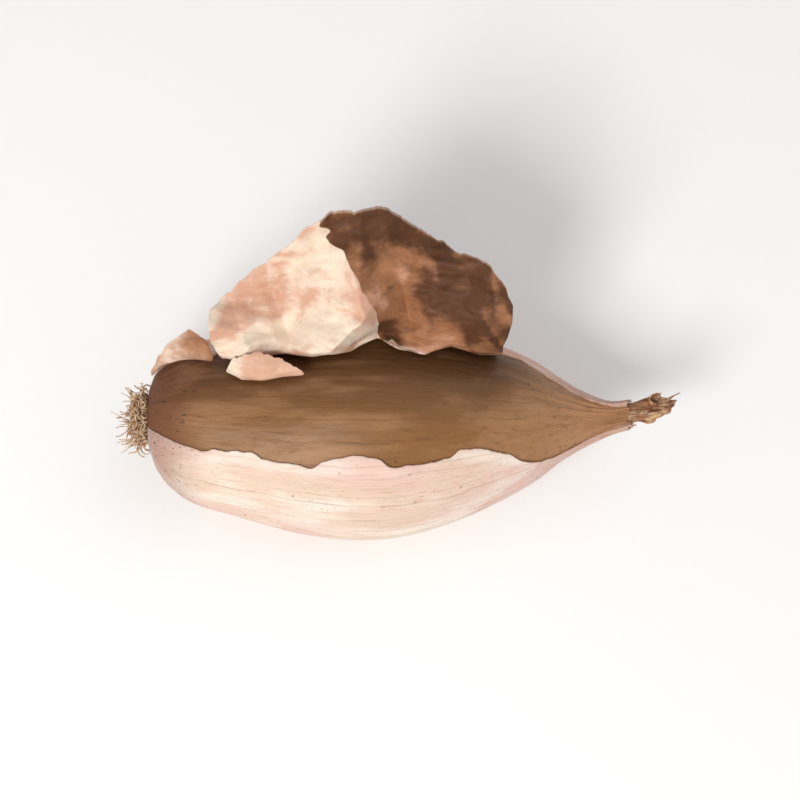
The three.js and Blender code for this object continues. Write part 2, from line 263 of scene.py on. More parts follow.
def section(along, angle):
    """How far the section departs from a circle, as in the solids."""
    body = smooth(*ROOT_END, along) * (1 - smooth(*SHOULDER, along))
    turned = (angle - FLAT_ANGLE + math.pi) % TAU - math.pi
    flatter = FLAT_SIDE_DEPTH * max(0, math.cos(turned)) ** 4
    furrow = FURROW_DEPTH * math.exp(-((turned / FURROW_WIDTH) ** 2))
    folds = wave(NECK_FOLDS, along, angle) * smooth(*NECK_START, along)
    puckers = wave(PUCKERS, along, angle) * (1 - smooth(*ROOT_END, along))
    return 1 + body * (wave(SIDES, along, angle) - flatter - furrow) + folds + puckers


def place(along, radius, angle):
    """A point at a distance along the bulb, a radius and an angle: 0 is +Y and a quarter turn is up."""
    sideways, up = middle(along)
    shaped = radius * section(along, angle)
    height = lerp(FLATTENING, NECK_FLATTENING, smooth(*NECK_START, along))
    return Vector((
        along - BELLY_AT,
        sideways + shaped * math.cos(angle),
        up + shaped * height * math.sin(angle),
    ))


# Meshes

def finished(name, bm, material, replaces=()):
    """The mesh as a smooth piece that rides with the shallot."""
    for face in bm.faces:
        face.smooth = True
    mesh = bpy.data.meshes.new(name)
    bm.to_mesh(mesh)
    bm.free()
    return dressed(name, mesh, material, replaces)


def dressed(name, mesh, material, replaces=()):
    mesh.materials.clear()
    mesh.materials.append(material)
    piece = bpy.data.objects.new(name, mesh)
    bpy.context.scene.collection.objects.link(piece)
    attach(piece, "root")
    if replaces:
        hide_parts(*replaces)
    return piece


def spun(profile, sides):
    """A closed shape turned round the X axis, from a profile of (distance along, radius)."""
    bm = bmesh.new()
    verts = [bm.verts.new((along, radius, 0)) for along, radius in profile]
    edges = [bm.edges.new(pair) for pair in zip(verts, verts[1:])]
    bmesh.ops.spin(
        bm,
        geom=verts + edges,
        cent=(0, 0, 0),
        axis=(1, 0, 0),
        angle=TAU,
        steps=sides,
        use_merge=True,
    )
    bmesh.ops.remove_doubles(bm, verts=bm.verts, dist=1e-4)
    bmesh.ops.recalc_face_normals(bm, faces=bm.faces)
    return bm


def turn_of(vert):
    return math.atan2(vert.co.z, vert.co.y) % TAU


def grain_uv(bm, turns):
    """A UV map with the angle as u and the distance along as v, from each vertex's (turn, along)."""
    layer = bm.loops.layers.uv.new("grain")
    for face in bm.faces:
        pairs = [turns[loop.vert] for loop in face.loops]
        highest = max(turn for turn, _ in pairs)
        for loop, (turn, along) in zip(face.loops, pairs):
            wrapped = turn + 1 if highest - turn > 0.5 else turn
            loop[layer].uv = (wrapped, along / SKIN_LENGTH)


# The split in the outer skin

# Its near edge's angles, at the root end's rim and along the belly, and its jumps as (distance along, angle)
FRONT_AT_RIM = 2.1
FRONT_ANGLE = 2.24
SPLIT_STEPS = [(9, -0.05), (15.5, 0.08), (24, -0.1), (33, 0.06), (42.5, -0.06), (51, 0.08)]
NECK_BACK = 1.15  # the angle of its far edge at the neck
FOLDS_MEET = (8.8, 10.2)  # where the flake's fold gives way to the large sheet's


def split_width(along):
    """From 0.3 at the root end's rim to 1 where the split is widest."""
    return 0.3 + 0.7 * smooth(1, 12, along)


def bare_back(along):
    """The angle of the strip's far edge, under the folds of the flake and the large peeled sheet."""
    flake = fold_angle(ROOT_SKIN_FLAKE, along)
    large = fold_angle(PEELED_SKIN, along)
    folded = lerp(flake, large, smooth(*FOLDS_MEET, along)) - 0.08
    frayed = 0.08 * facets(0.3 * along, 2.5) + 0.04 * facets(along, 5.5)
    upwards = smooth(PEELED_SKIN.end - 1, SKIN_LENGTH, along)
    return lerp(folded, NECK_BACK, upwards) + frayed * smooth(PEELED_SKIN.end, PEELED_SKIN.end + 2, along)


def bare_front(along):
    """The angle of the strip's near edge, torn along the fibres with small jumps across them."""
    jumps = sum(jump * smooth(at - 0.9, at + 0.9, along) for at, jump in SPLIT_STEPS)
    frayed = 0.04 * facets(0.16 * along, 1.5) + 0.012 * facets(0.6 * along, 4.5)
    frayed += 0.006 * facets(2 * along, 7.5)
    down_the_neck = 0.65 * smooth(44, 62, along)
    return lerp(FRONT_AT_RIM, FRONT_ANGLE + jumps, split_width(along)) + down_the_neck + frayed


def relief(along, angle):
    """Fine lengthwise wrinkles and dents, in millimetres."""
    around = Vector((math.cos(angle), math.sin(angle), 0))
    broad = noise.noise(around * 2.2 + Vector((5, 1, 0.07 * along)))
    wrinkles = noise.noise(around * 9 + Vector((2, 8, 0.045 * along)))
    fine = noise.noise(around * 26 + Vector((7, 3, 0.05 * along)))
    ends = 0.35 + 1.1 * (1 - smooth(2, 12, along)) + 1.3 * smooth(46, 62, along)
    return 0.2 * broad + ends * (0.16 * wrinkles + 0.075 * fine)


def bulb_vertex(along, turn):
    """Where a vertex of the turned bulb goes, with its real angle: the skin's edge lifts at the split."""
    column = turn / TAU * BULB_SIDES
    back, front = bare_back(along), bare_front(along)
    radius = 0.0
    if column <= BARE_SIDES:
        angle = lerp(back, front, column / BARE_SIDES)
        radius -= LAYER
    else:
        beyond = column - BARE_SIDES
        angle = lerp(front, back + TAU, (beyond - 3) / (BULB_SIDES - BARE_SIDES - 3))
        wavy = 0.25 + 1.5 * abs(noise.noise(Vector((0.16 * along, 2, 9))))
        lift = LIP_LIFT * split_width(along) * wavy
        if beyond < 1.5:
            angle = front + 1.3 / BELLY_RADIUS
            radius -= LAYER
        elif beyond < 2.5:
            angle = front - 0.1 / BELLY_RADIUS
            radius += lift - PAPER
        else:
            arc = max(0, (angle - front) * BELLY_RADIUS)
            radius += lift * math.exp(-((arc / LIP_WIDTH) ** 2))
    return angle, radius


def ragged_end(along, angle):
    """The neck's skin ends in torn points of many lengths, not in a clean ring."""
    x, y = math.cos(angle), math.sin(angle)
    torn = 1.1 * facets(1.3 * x, 1.3 * y + 5) + 0.8 * facets(3.4 * x, 3.4 * y + 5)
    torn += 0.4 * facets(9 * x, 9 * y)
    return along + smooth(60, SKIN_LENGTH, along) * (torn - 2)


def crimped(along, angle):
    """How far the neck's skin closes in on its dry sheaths, in millimetres."""
    x, y = math.cos(angle), math.sin(angle)
    uneven = 0.3 * facets(1.7 * x, 1.7 * y + 9) + 0.15 * facets(5 * x, 5 * y)
    return smooth(60, 68, along) * (0.55 + uneven)


def bulb_profile():
    skin = outline(BULB_ROWS)
    rim = skin[0][1]
    hollow_end = SKIN_LENGTH - NECK_HOLLOW
    return [
        (PLATE_RECESS, 0),
        (PLATE_RECESS, PLATE_RADIUS + GAP),
        (PLATE_RECESS / 2, PLATE_RADIUS + GAP),
        (-0.15, (rim + PLATE_RADIUS + GAP) / 2),
        *skin,
        (SKIN_LENGTH, NECK_RADIUS - PAPER),
        (hollow_end, NECK_RADIUS - NECK_WALL / 2),
        (hollow_end, 0),
    ]


def make_bulb(material):
    bm = spun(bulb_profile(), BULB_SIDES)
    bare = bm.verts.layers.float.new("bare")
    places = {}
    for vert in bm.verts:
        along = vert.co.x
        radius = math.hypot(vert.co.y, vert.co.z)
        column_turn = turn_of(vert)
        angle, raised = bulb_vertex(along, column_turn)
        if along < 3:
            outside = smooth(PLATE_RADIUS + GAP, PLATE_RADIUS + 3, radius)
        else:
            outside = smooth(0.6, 1, radius / radius_at(along))
        ragged = ragged_end(along, angle)
        lifted = radius + outside * (raised + relief(along, angle)) - min(radius / 2, crimped(along, angle))
        point = place(ragged, lifted, angle)
        point.z = max(point.z, 0)
        places[vert] = (angle / TAU, along)
        vert[bare] = 1 if column_turn / TAU * BULB_SIDES < BARE_SIDES + 1.5 else 0
        vert.co = point * MM
    grain_uv(bm, places)
    return finished("bulb_skin", bm, material, ["bulb"])


# Torn sheets of dry skin

LARGE_FOLD = [
    (0, 1),
    (0.07, 1.07),
    (0.24, 1.08),
    (0.33, 1.15),
    (0.46, 1.11),
    (0.55, 0.93),
    (0.62, 1.07),
    (0.71, 1.12),
    (0.8, 0.93),
    (0.9, 0.98),
    (1, 0.78),
]
FLAKE_FOLD = [(0, 0.84), (0.35, 0.98), (1, 1.1)]
LIP_FOLD = [(0, 1.26), (0.2, 1.39), (0.45, 1.41), (1, 1.36)]
LARGE_TEAR = [
    (0, 0.42),
    (0.1, 0.56),
    (0.24, 0.72),
    (0.4, 0.93),
    (0.47, 0.97),
    (0.56, 0.92),
    (0.7, 0.82),
    (0.8, 0.69),
    (0.9, 0.63),
    (0.97, 0.54),
    (1, 0.44),
]
FLAKE_TEAR = [(0, 0.3), (0.35, 0.75), (0.6, 1), (0.8, 0.85), (1, 0.35)]
LIP_TEAR = [(0, 0.3), (0.15, 0.8), (0.4, 1), (0.7, 0.78), (0.9, 0.5), (1, 0.3)]
FACET = 7.5
KINK_FADE = 6
FREE_FROM = 4.5
SHEET_CLEARANCE = GAP / FLATTENING + 0.2
MARCH = 0.6  # a sheet's bend is walked along in steps of about this length
HUG_SHARE = 0.3  # of a sheet's rows, those behind its fold
END_RAGS = 0.035  # how far its ends are drawn out in rags, as a share of its width


@dataclass
class Sheet:
    """A sheet that hugs the bulb behind its fold and bends away in front of it, as in the solids."""
    start: float
    end: float
    fold: list
    hinge: tuple
    hug: float
    width: float
    turn: float
    sway: float
    bend: float
    curl: float
    crumple: float
    fan: float
    tear: list
    grid: tuple


PEELED_SKIN = Sheet(
    start=10,
    end=50,
    fold=LARGE_FOLD,
    hinge=(1.06, 0.94),
    hug=12,
    width=23,
    turn=2.2,
    sway=0.45,
    bend=3,
    curl=0.006,
    crumple=4.2,
    fan=0.25,
    tear=LARGE_TEAR,
    grid=(220, 180),
)
ROOT_SKIN_FLAKE = Sheet(
    start=0.6,
    end=9.2,
    fold=FLAKE_FOLD,
    hinge=(0.86, 1.1),
    hug=2.4,
    width=4.7,
    turn=2.2,
    sway=0.2,
    bend=1.2,
    curl=0.12,
    crumple=1,
    fan=0.5,
    tear=FLAKE_TEAR,
    grid=(90, 60),
)
SKIN_LIP = Sheet(
    start=11.5,
    end=22,
    fold=LIP_FOLD,
    hinge=(1.33, 1.38),
    hug=1,
    width=5.2,
    turn=2.1,
    sway=0.2,
    bend=1.3,
    curl=0.08,
    crumple=1.1,
    fan=0.3,
    tear=LIP_TEAR,
    grid=(100, 60),
)


def value_at(points, share):
    """The value at a share of the way along a list of (share, value)."""
    after = next((i for i, (at, _) in enumerate(points) if at >= share and i > 0), len(points) - 1)
    (a, low), (b, high) = points[after - 1], points[after]
    return lerp(low, high, clamp((share - a) / (b - a)))


def fold_angle(sheet, along):
    """The angle of a sheet's fold. Beyond the sheet's ends it stays as it is there."""
    return value_at(sheet.fold, clamp((along - sheet.start) / (sheet.end - sheet.start)))


def hug_outline(share, along):
    """How far a sheet reaches back behind its fold, as a share of its hug: rounded at the ends and lobed."""
    lobed = math.sin(math.pi * (0.05 + 0.9 * share)) * (0.75 + 0.25 * math.sin(9 * share))
    return lobed * (1 + 0.08 * facets(0.3 * along, 9.5) + 0.05 * facets(along, 6.5))


def torn_edge(sheet, share, along):
    """How far a sheet reaches beyond its fold, with the small teeth of its tear."""
    notched = 0.045 * facets(0.33 * along, 0.5)
    teeth = 0.32 * facets(0.8 * along, 3.5) + 0.2 * noise.noise(Vector((1.7 * along, 8, 3)))
    teeth += 0.1 * noise.noise(Vector((5 * along, 2, 3)))
    return sheet.width * (value_at(sheet.tear, share) + notched) + teeth


def drift(x, y, layer):
    """A smooth wandering to two sides, each from -1 to 1. Layers wander apart from one another."""
    return Vector((noise.noise(Vector((x, y, layer))), noise.noise(Vector((x, y, layer + 31))), 0))


def crumpled(along, reach):
    """Creases from -1 to 1: the broad facets of the solids, with smaller ones and soft wrinkles on them."""
    bent = Vector((along, reach, 0)) + 0.8 * drift(0.2 * along, 0.2 * reach, 5)
    broad = facets(along / FACET, reach / FACET + 3)
    small = 0.25 * facets(bent.x / 3.6, bent.y / 3.6 + 7)
    small += 0.035 * facets(bent.x / 1.5, bent.y / 1.5 + 11)
    return broad + small + 0.05 * noise.noise(Vector((0.3 * along, 0.9 * reach, 3)))


def wrinkled(along, reach):
    """Small wrinkles and creases, in millimetres."""
    soft = noise.noise(Vector((0.5 * along, 0.8 * reach, 13)))
    return 0.26 * soft + 0.28 * facets(0.35 * along + 0.2 * reach, 0.75 * reach + 4)


def sheet_point(sheet, share, across):
    """A point of a torn sheet: across runs from 0 at its hugging edge, past the fold, to 1 at its tear."""
    along = lerp(sheet.start, sheet.end, share)
    at_ends = smooth(0.12, 0, share) - smooth(0.88, 1, share)
    along += END_RAGS * sheet.width * at_ends * (1 + facets(3.4 * across, 4 * share + 1.5))
    angle = fold_angle(sheet, along)
    radius = radius_at(along) + SHEET_CLEARANCE
    if across < HUG_SHARE:
        level = 1 - across / HUG_SHARE
        back = level * sheet.hug * hug_outline(share, along)
        return place(along, radius, angle - back / BELLY_RADIUS)
    hinge = lerp(*sheet.hinge, share)
    point = place(along, radius, hinge)
    kink = place(along, radius, angle) - point
    onwards = (place(along, radius, hinge + 0.02) - point).normalized()
    out = Vector((0, onwards.z, -onwards.y))
    level = (across - HUG_SHARE) / (1 - HUG_SHARE)
    edge = torn_edge(sheet, share, along)
    reach = level**1.3 * edge
    point += kink * math.exp(-reach / KINK_FADE)
    final = sheet.turn + sheet.sway * facets(3.3 * share + 0.7, 2.2)
    rolled = 1.5 * noise.noise(Vector((0.14 * along, 6, 1)))
    marches = max(1, round(reach / MARCH))
    for i in range(marches):
        gone = (i + 0.5) / marches * reach
        turn = final * (1 - math.exp(-gone / sheet.bend)) + sheet.curl * gone
        turn += rolled * smooth(edge - 0.15 * sheet.width, edge, gone)
        point += (onwards * math.cos(turn) + out * math.sin(turn)) * (reach / marches)
    facing = final + sheet.curl * reach
    face_out = out * math.cos(facing) - onwards * math.sin(facing)
    point += face_out * sheet.crumple * smooth(0, FREE_FROM, reach) * crumpled(along, reach)
    point += face_out * smooth(0, 1.2, reach) * wrinkled(along, reach)
    point.x += sheet.fan * reach * (share - 0.5)
    return point


def panel_shade(sheet, share, across):
    """Painted shade from -1 to 1, in panels between creases: facets lit and shaded, painted lighter and
    darker.
    """
    along = lerp(sheet.start, sheet.end, share)
    reach = (across - HUG_SHARE) * sheet.width
    bent = Vector((along, reach, 0)) + 1.2 * drift(0.25 * along, 0.25 * reach, 9)
    return 0.75 * facets(bent.x / 6, bent.y / 6 + 17) + 0.4 * facets(bent.x / 2.3, bent.y / 2.3 + 5)


def new_sheets():
    bm = bmesh.new()
    bm.verts.layers.float.new("outer")
    bm.verts.layers.float.new("panel_shade")
    bm.loops.layers.uv.new("sheet")
    return bm


def add_sheet(bm, grid, rule, outwards, shade_panels=None):
    """A thin closed sheet from a rule that takes (share, across) from 0 to 1. Its outer side is marked."""
    outer = bm.verts.layers.float["outer"]
    aged_and_shaded = bm.verts.layers.float["panel_shade"]
    uv = bm.loops.layers.uv["sheet"]
    verts = bmesh.ops.create_grid(bm, x_segments=grid[0], y_segments=grid[1], size=0.5)["verts"]
    bm.faces.index_update()
    faces = sorted({face for vert in verts for face in vert.link_faces}, key=lambda face: face.index)
    for face in faces:
        for loop in face.loops:
            loop[uv].uv = (loop.vert.co.x + 0.5, loop.vert.co.y + 0.5)
    for vert in verts:
        share, across = vert.co.x + 0.5, vert.co.y + 0.5
        vert.co = rule(share, across) * MM
        # Each vertex takes its panel of painted shade
        if shade_panels:
            vert[aged_and_shaded] = shade_panels(share, across)
    bm.normal_update()
    made = bmesh.ops.extrude_face_region(bm, geom=faces)["geom"]
    for vert in [item for item in made if isinstance(item, bmesh.types.BMVert)]:
        vert[outer] = 1
        vert.co += vert.normal * outwards * PAPER * MM


def closed(bm):
    bmesh.ops.recalc_face_normals(bm, faces=bm.faces)
    return bm


def make_torn_sheet(name, sheet, material, node):
    bm = new_sheets()
    add_sheet(
        bm,
        sheet.grid,
        lambda share, across: sheet_point(sheet, share, across),
        -1,
        lambda share, across: panel_shade(sheet, share, across),
    )
    return finished(name, closed(bm), material, [node])


# The neck's dry sheaths

def seeded(seed):
    """A repeatable stream of numbers from 0 to 1."""
    state = seed
    while True:
        state = state * 16807 % 2147483647
        yield state / 2147483647


def sheath_spine(length, curl, share):
    """The middle of a sheath's section at a share of its length: (along, radius, heading)."""
    steps = 12
    stride = share * length / steps
    along, radius, heading = SKIN_LENGTH - SHEATH_ROOT, SHEATH_START * SHEATH_RADIUS, 0
    for step in range(steps):
        heading = SHEATH_LEAN + curl * smooth(0.5, 1, (step + 0.5) / steps * share)
        along += math.cos(heading) * stride
        radius += math.sin(heading) * stride
    return along, radius, heading


def sheath_rule(order, length, twist, curl):
    """A channelled blade that leaves the neck, narrows and curls over at its torn end."""
    facing = order / SHEATH_COUNT * TAU + 0.4
    rolled_edges = 0.9 if round(2 * order) % 2 else -0.7

    def rule(share, across):
        y = across - 0.5
        torn = 0.08 * smooth(0.7, 1, share) * math.sin(8 * y + order * 2.1)
        torn += 0.09 * smooth(0.6, 1, share) * facets(3 * y, order)
        along, radius, heading = sheath_spine(length * (1 + torn), curl, share)
        width = SHEATH_SPAN * SHEATH_RADIUS * (1 - SHEATH_TAPER * share)
        around = facing + twist * share - y * width / max(radius, SHEATH_RADIUS)
        pleats = 0.09 * math.sin(19 * y + order) + 0.05 * math.sin(41 * y + 3 * share + 2 * order)
        rolled = rolled_edges * smooth(0.25, 1, share) * (2 * y) ** 2
        crumpled_out = 0.5 * share * facets(3.4 * share, 2.6 * y + 3 * order)
        out = 0.2 + pleats + rolled + crumpled_out
        return place(along - out * math.sin(heading), radius + out * math.cos(heading), around)

    return rule


def make_dry_neck(material):
    draws = seeded(5)
    bm = new_sheets()
    for order in range(SHEATH_COUNT):
        length = lerp(*SHEATH_LENGTHS, next(draws))
        twist = lerp(*SHEATH_TWIST, next(draws))
        curl = lerp(*SHEATH_CURL, next(draws)) * (0.1 if order % 3 == 1 else 1)
        add_sheet(bm, SHEATH_GRIDS[0], sheath_rule(order, length, twist, curl), 1)
        add_sheet(bm, SHEATH_GRIDS[1], sheath_rule(order + 0.5, 0.8 * length, twist, 0.3 * curl), 1)
    return finished("dry_neck_sheaths", closed(bm), material, ["dry_neck"])


# The root end

def plate_profile():
    floor = PLATE_RECESS - GAP
    turns = [math.pi / 2 * step / 16 for step in range(17)]
    edge = [(-PLATE_DOME * math.cos(turn), PLATE_RADIUS * math.sin(turn)) for turn in turns]
    return [*edge, (0.6, PLATE_RADIUS), (floor, PLATE_RADIUS - GAP), (floor, 0)]


def make_root_plate(material):
    bm = spun(plate_profile(), 64)
    for vert in bm.verts:
        radius = math.hypot(vert.co.y, vert.co.z)
        lumps = noise.noise(vert.co * 1.3) + 0.5 * noise.noise(vert.co * 3.1)
        along = vert.co.x - 0.35 * lumps * (vert.co.x < 0.3)
        vert.co = place(along, radius, turn_of(vert)) * MM
    return finished("root_plate", bm, material)


def root_path(order, draws):
    """A dry root: out of the plate, then curling round like a loose spring."""
    share = (order + 0.5) / ROOT_COUNT
    angle = order * GOLDEN_ANGLE
    outwards = PLATE_RADIUS * 0.92 * math.sqrt(share)
    start = place(0, 0, 0) + Vector((-PLATE_DOME * math.sqrt(1 - 0.8 * share) + 0.4, 0, 0))
    point = start + Vector((0, math.cos(angle), math.sin(angle))) * outwards
    lean = 0.1 + 0.55 * share * next(draws)
    heading = Vector((-1, lean * math.cos(angle), lean * math.sin(angle))).normalized()
    axis = Vector((0.8 * next(draws) - 0.4, next(draws) - 0.5, next(draws) - 0.5)).normalized()
    stride = lerp(*ROOT_LENGTHS, next(draws)) / ROOT_STEPS
    curl = lerp(*ROOT_CURL, next(draws))
    path = [point.copy()]
    for step in range(ROOT_STEPS):
        point += heading * stride
        path.append(point.copy())
        heading.rotate(Quaternion(axis, curl * min(1, (step + 1) / 3)))
        heading = (heading + Vector((-0.1, 0, 0))).normalized()
    return path


def make_roots(material):
    draws = seeded(11)
    curve = bpy.data.curves.new("roots", "CURVE")
    curve.dimensions = "3D"
    curve.bevel_depth = MM
    curve.bevel_resolution = 0
    curve.use_fill_caps = True
    for order in range(ROOT_COUNT):
        path = root_path(order, draws)
        thickness = lerp(*ROOT_THICKNESS, next(draws))
        spline = curve.splines.new("POLY")
        spline.points.add(len(path) - 1)
        for i, (target, point) in enumerate(zip(spline.points, path)):
            target.co = (*(point * MM), 1)
            target.radius = thickness * lerp(1, 0.45, i / (len(path) - 1))
    lines = bpy.data.objects.new("roots", curve)
    mesh = bpy.data.meshes.new_from_object(lines)
    bpy.data.objects.remove(lines)
    bpy.data.curves.remove(curve)
    for polygon in mesh.polygons:
        polygon.use_smooth = True
    return dressed("curly_roots", mesh, material, ["root_tuft"])


# Node recipes

class Recipe:
    """One material's node tree. Values given to a node are sockets, which are linked, or plain values."""

    def __init__(self, name):
        self.material = bpy.data.materials.new(name)
        self.material.use_nodes = True
        self.tree = self.material.node_tree
        self.shader = self.tree.nodes["Principled BSDF"]

    def feed(self, socket, value):
        if isinstance(value, bpy.types.NodeSocket):
            self.tree.links.new(value, socket)
        else:
            socket.default_value = value

    def node(self, kind, values, **settings):
        made = self.tree.nodes.new("ShaderNode" + kind)
        for key, value in settings.items():
            setattr(made, key, value)
        for socket, value in values.items():
            self.feed(made.inputs[socket], value)
        return made

    def place(self):
        """Object coordinates, in millimetres."""
        coordinates = self.node("TexCoord", {}).outputs["Object"]
        return self.stretch(coordinates, (1 / MM, 1 / MM, 1 / MM))

    def uv(self, name="grain"):
        return self.node("UVMap", {}, uv_map=name).outputs["UV"]

    def attribute(self, name):
        return self.node("Attribute", {}, attribute_name=name).outputs["Fac"]

    def split(self, vector):
        return self.node("SeparateXYZ", {0: vector}).outputs

    def stretch(self, vector, scale):
        return self.node("VectorMath", {0: vector, 1: scale}, operation="MULTIPLY").outputs["Vector"]

    def maths(self, operation, a, b=0.0):
        return self.node("Math", {0: a, 1: b}, operation=operation).outputs[0]

    def noise(self, vector, scale, detail=3.0, roughness=0.55):
        values = {"Vector": vector, "Scale": scale, "Detail": detail, "Roughness": roughness}
        return self.node("TexNoise", values).outputs["Fac"]

    def spots(self, vector, scale, randomness=1.0):
        """Distance to the nearest of many scattered points."""
        values = {"Vector": vector, "Scale": scale, "Randomness": randomness}
        return self.node("TexVoronoi", values).outputs["Distance"]

    def span(self, value, low, high, to_low=0.0, to_high=1.0):
        """The value's way from low to high, eased, as a number from to_low to to_high."""
        values = {0: value, 1: low, 2: high, 3: to_low, 4: to_high}
        return self.node("MapRange", values, interpolation_type="SMOOTHSTEP").outputs[0]

    def mix(self, share, a, b, blend="MIX"):
        made = self.node("Mix", {0: share, 6: a, 7: b}, data_type="RGBA", blend_type=blend)
        return made.outputs[2]

    def bump(self, height, distance_mm, under=None):
        values = {"Height": height, "Distance": distance_mm * MM, "Strength": 1.0}
        if under is not None:
            values["Normal"] = under
        return self.node("Bump", values).outputs["Normal"]

    def finish(self, colour, roughness, normal=None, **plain):
        self.feed(self.shader.inputs["Base Color"], colour)
        self.feed(self.shader.inputs["Roughness"], roughness)
        if normal is not None:
            self.feed(self.shader.inputs["Normal"], normal)
        for name, value in plain.items():
            self.shader.inputs[name.replace("_", " ")].default_value = value
        return self.material


def veins(r, grain, count, wander):
    """Thin veins along the grain: 0 between them, up to 1 on them, each with a strength of its own."""
    shifted = r.maths("ADD", r.maths("MULTIPLY", r.split(grain)[0], count), wander)
    beside = r.maths("ABSOLUTE", r.maths("SUBTRACT", r.maths("FRACT", shifted), 0.5))
    number = r.maths("FLOOR", shifted)
    strength = r.node("TexWhiteNoise", {"W": number}, noise_dimensions="1D").outputs["Value"]
    return r.maths("MULTIPLY", r.span(beside, 0.15, 0.01), r.span(strength, 0.1, 1, 0.15, 1))


def skin_material():
    r = Recipe("bulb_skin")
    place_mm = r.place()
    grain = r.uv()
    x, y = r.split(place_mm)[0:2]
    along = r.maths("ADD", x, BELLY_AT)
    fibre_space = r.stretch(place_mm, (0.06, 1, 1))

    patches = r.noise(r.stretch(place_mm, (0.4, 1, 1)), 0.1, 3)
    clinging = r.noise(r.stretch(place_mm, (0.22, 1, 1)), 0.24, 4, 0.5)
    streaks = r.noise(fibre_space, 1.3, 5, 0.65)
    threads = r.noise(fibre_space, 5, 3, 0.6)
    wander = r.maths("MULTIPLY", r.noise(r.stretch(place_mm, (0.2, 1, 1)), 0.3, 2), 1.6)
    faded = r.span(r.noise(r.stretch(place_mm, (0.5, 1, 1)), 0.3, 3), 0.3, 0.6)
    broad_veins = r.maths("MULTIPLY", veins(r, grain, 58, wander), faded)
    fine_veins = veins(r, grain, 190, r.maths("MULTIPLY", wander, 3.3))

    colour = r.mix(r.span(patches, 0.38, 0.62), ROSE, TAN)
    colour = r.mix(r.span(clinging, 0.42, 0.66, 0, 0.7), colour, CREAM)
    # Painted shade: the far flank, turned from the camera and the key lamp, goes a darker rose in patches
    far_side = r.span(r.maths("ADD", y, r.maths("MULTIPLY", patches, 12)), 6, 17, 0, 0.55)
    colour = r.mix(far_side, colour, FAR_SHADE_ROSE)
    colour = r.mix(r.span(streaks, 0.5, 0.8, 0, 0.4), colour, COPPER)
    colour = r.mix(r.span(threads, 0.5, 0.8, 0, 0.18), colour, BROWN)

    # Painted shade: the bare strip goes from dark copper at the peeled sheet's fold to lighter copper at its
    # torn edge
    toward_edge = r.span(r.maths("ADD", r.split(grain)[0], r.maths("MULTIPLY", streaks, 0.08)), 0.2, 0.38)
    fresh = r.mix(toward_edge, STREAK_AND_SHADE_COPPER, FRESH_COPPER)
    fresh = r.mix(r.span(clinging, 0.45, 0.65, 0, 0.35), fresh, FRESH_TAN)
    fresh = r.mix(r.span(along, 46, 62, 0, 0.9), fresh, FRESH_TAN)
    fresh = r.mix(r.span(streaks, 0.5, 0.75, 0, 0.5), fresh, STREAK_AND_SHADE_COPPER)
    bare = r.attribute("bare")
    colour = r.mix(bare, colour, fresh)
    colour = r.mix(r.maths("MULTIPLY", broad_veins, 0.42), colour, BROWN)
    colour = r.mix(r.maths("MULTIPLY", fine_veins, 0.16), colour, BROWN)

    root_end = r.span(r.maths("ADD", along, r.maths("MULTIPLY", streaks, 5)), 12, 3.5)
    soiled = r.maths("MULTIPLY", root_end, r.span(bare, 0, 1, 0.5, 0.92))
    colour = r.mix(soiled, colour, BROWN)
    cracks = r.span(r.noise(r.stretch(place_mm, (0.09, 1, 1)), 2.2, 2), 0.64, 0.68)
    cracks = r.maths("MULTIPLY", cracks, r.span(along, 10, 4))
    colour = r.mix(r.maths("MULTIPLY", cracks, 0.8), colour, SOIL)
    neck_end = r.span(r.maths("ADD", along, r.maths("MULTIPLY", streaks, 8)), 56, 72)
    colour = r.mix(r.maths("MULTIPLY", neck_end, 0.5), colour, DRY_LEAF)

    freckle_zone = r.span(r.noise(place_mm, 0.2, 2), 0.48, 0.62)
    freckles = r.maths("MULTIPLY", r.span(r.spots(place_mm, 1.1), 0.2, 0.1), freckle_zone)
    colour = r.mix(r.maths("MULTIPLY", freckles, 0.4), colour, BROWN)
    dirt_zone = r.span(r.noise(place_mm, 0.14, 3), 0.52, 0.66)
    dirt = r.maths("MULTIPLY", r.span(r.spots(place_mm, 0.55), 0.17, 0.07), dirt_zone)
    colour = r.mix(r.maths("MULTIPLY", dirt, 0.8), colour, SOIL)

    roughness = r.span(streaks, 0.3, 0.8, 0.42, 0.58)
    roughness = r.maths("SUBTRACT", roughness, r.maths("MULTIPLY", bare, 0.06))
    roughness = r.maths("ADD", roughness, r.maths("MULTIPLY", root_end, 0.3))
    normal = r.bump(threads, 0.03)
    normal = r.bump(streaks, 0.09, normal)
    normal = r.bump(broad_veins, 0.02, normal)
    return r.finish(
        colour, roughness, normal, Subsurface_Weight=0.08, Subsurface_Scale=0.0015, Specular_IOR_Level=0.27
    )


